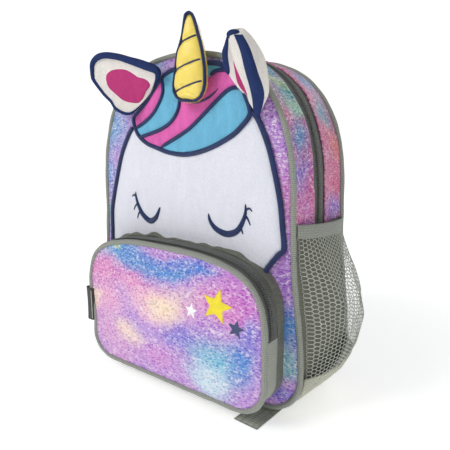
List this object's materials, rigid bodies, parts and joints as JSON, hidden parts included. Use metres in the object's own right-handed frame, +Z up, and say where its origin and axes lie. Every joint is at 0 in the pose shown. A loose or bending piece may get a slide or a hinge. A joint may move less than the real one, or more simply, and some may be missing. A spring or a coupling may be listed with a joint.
{
  "type": "kids animal backpack",
  "caption": "Small child's day pack with a plush animal face, stuffed horn, cupped ears, zipped main bag and front pocket, net side pockets and padded straps.",
  "frame": {"origin": "middle of the flat base, on the ground", "axes": "+Z up, the front with the face looks along -Y, +X is to the right as one looks at the front"},
  "size_m": [0.317, 0.1961, 0.357],
  "materials": {
    "print": "smooth printed polyester in drifting pastels",
    "lining": "plain woven olive grey",
    "piping": "woven grey binding",
    "zip_tape": "dark grey tape with coil teeth",
    "webbing": "ribbed light grey webbing",
    "white_plush": "short pile",
    "navy_thread": "satin stitch",
    "pink_plush": "short pile",
    "blue_plush": "short pile",
    "yellow_satin": "satin with stitched lines",
    "cream_plush": "short pile",
    "pink_centre": "short pile",
    "net": "open knitted net",
    "dark_cloth": "folded tape with a stitch line",
    "strap_cloth": "padded woven cloth",
    "plastic": "moulded",
    "zinc": "cast"
  },
  "bodies": {
    "root": {"front_panel": "print", "back_panel": "lining", "front_piping": "piping", "back_piping": "piping", "gusset_front": "print", "main_zip": "zip_tape", "gusset_back": "print", "side_gusset": "lining", "pocket_front": "print", "pocket_piping": "piping", "pocket_zip": "zip_tape", "pocket_webbing": "webbing", "pocket_gusset": "lining", "face_panel": "white_plush", "face_edge_left": "navy_thread", "face_edge_right": "navy_thread", "mane_edge": "navy_thread", "mane_pink_left": "pink_plush", "mane_blue_left": "blue_plush", "mane_pink_right": "pink_plush", "mane_blue_right": "blue_plush", "eye_left": "navy_thread", "eye_right": "navy_thread", "horn": "yellow_satin", "ear_left": "cream_plush", "ear_left_centre": "pink_centre", "ear_right": "cream_plush", "ear_right_centre": "pink_centre", "band_left": "piping", "net_left": "net", "foot_left": "lining", "band_right": "piping", "net_right": "net", "foot_right": "lining", "label_tab": "dark_cloth", "strap_yoke": "lining", "shoulder_pad_left": "strap_cloth", "ladder_lock_left": "plastic", "strap_webbing_left": "webbing", "shoulder_pad_right": "strap_cloth", "ladder_lock_right": "plastic", "strap_webbing_right": "webbing", "main_slider": "zinc", "pocket_slider": "zinc", "haul_loop": "webbing"}
  },
  "joints": []
}
